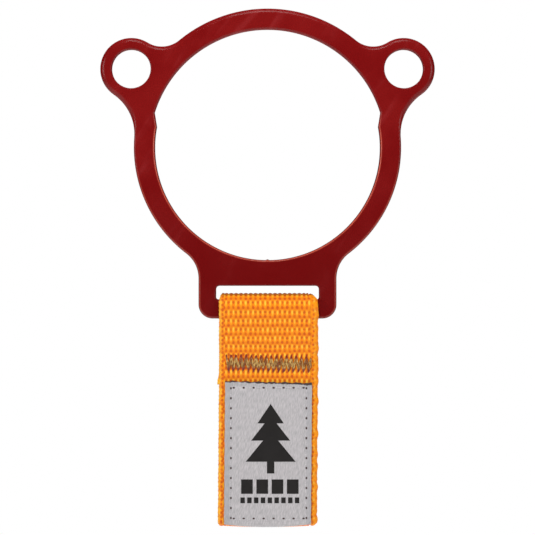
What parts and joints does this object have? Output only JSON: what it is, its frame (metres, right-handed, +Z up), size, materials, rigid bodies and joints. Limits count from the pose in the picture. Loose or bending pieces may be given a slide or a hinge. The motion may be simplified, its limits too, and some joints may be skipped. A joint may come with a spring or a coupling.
{
  "type": "accessory ring with webbing tab",
  "caption": "Flat coated steel ring with two eyelets and a slotted foot that carries a swinging sewn webbing loop with a woven label",
  "frame": {"origin": "centre of the ring, halfway through the plate", "axes": "+X to the right and +Z up across the plate, with the plate's front and the label facing -Y; the webbing hangs along -Z"},
  "size_m": [0.086, 0.0104, 0.1327],
  "materials": {
    "red_powder_coat": "glossy dark red powder coat over steel",
    "orange_webbing": "yellow-orange woven polyester webbing",
    "tack_thread": "olive brown bonded sewing thread",
    "label_cloth": "light grey woven satin label with a black woven motif",
    "label_thread": "grey sewing thread"
  },
  "bodies": {
    "plate": {"ring_plate": "red_powder_coat"},
    "tab": {"webbing_loop": "orange_webbing", "tack_needle_thread": "tack_thread", "tack_bobbin_thread": "tack_thread", "woven_label": "label_cloth", "label_needle_thread": "label_thread", "label_bobbin_thread": "label_thread"}
  },
  "joints": [
    {"name": "tab_swing", "type": "hinge", "parent": "plate", "child": "tab", "pos_m": [0, 0, -0.04145], "axis": [1, 0, 0], "range_deg": [-120, 120]}
  ]
}
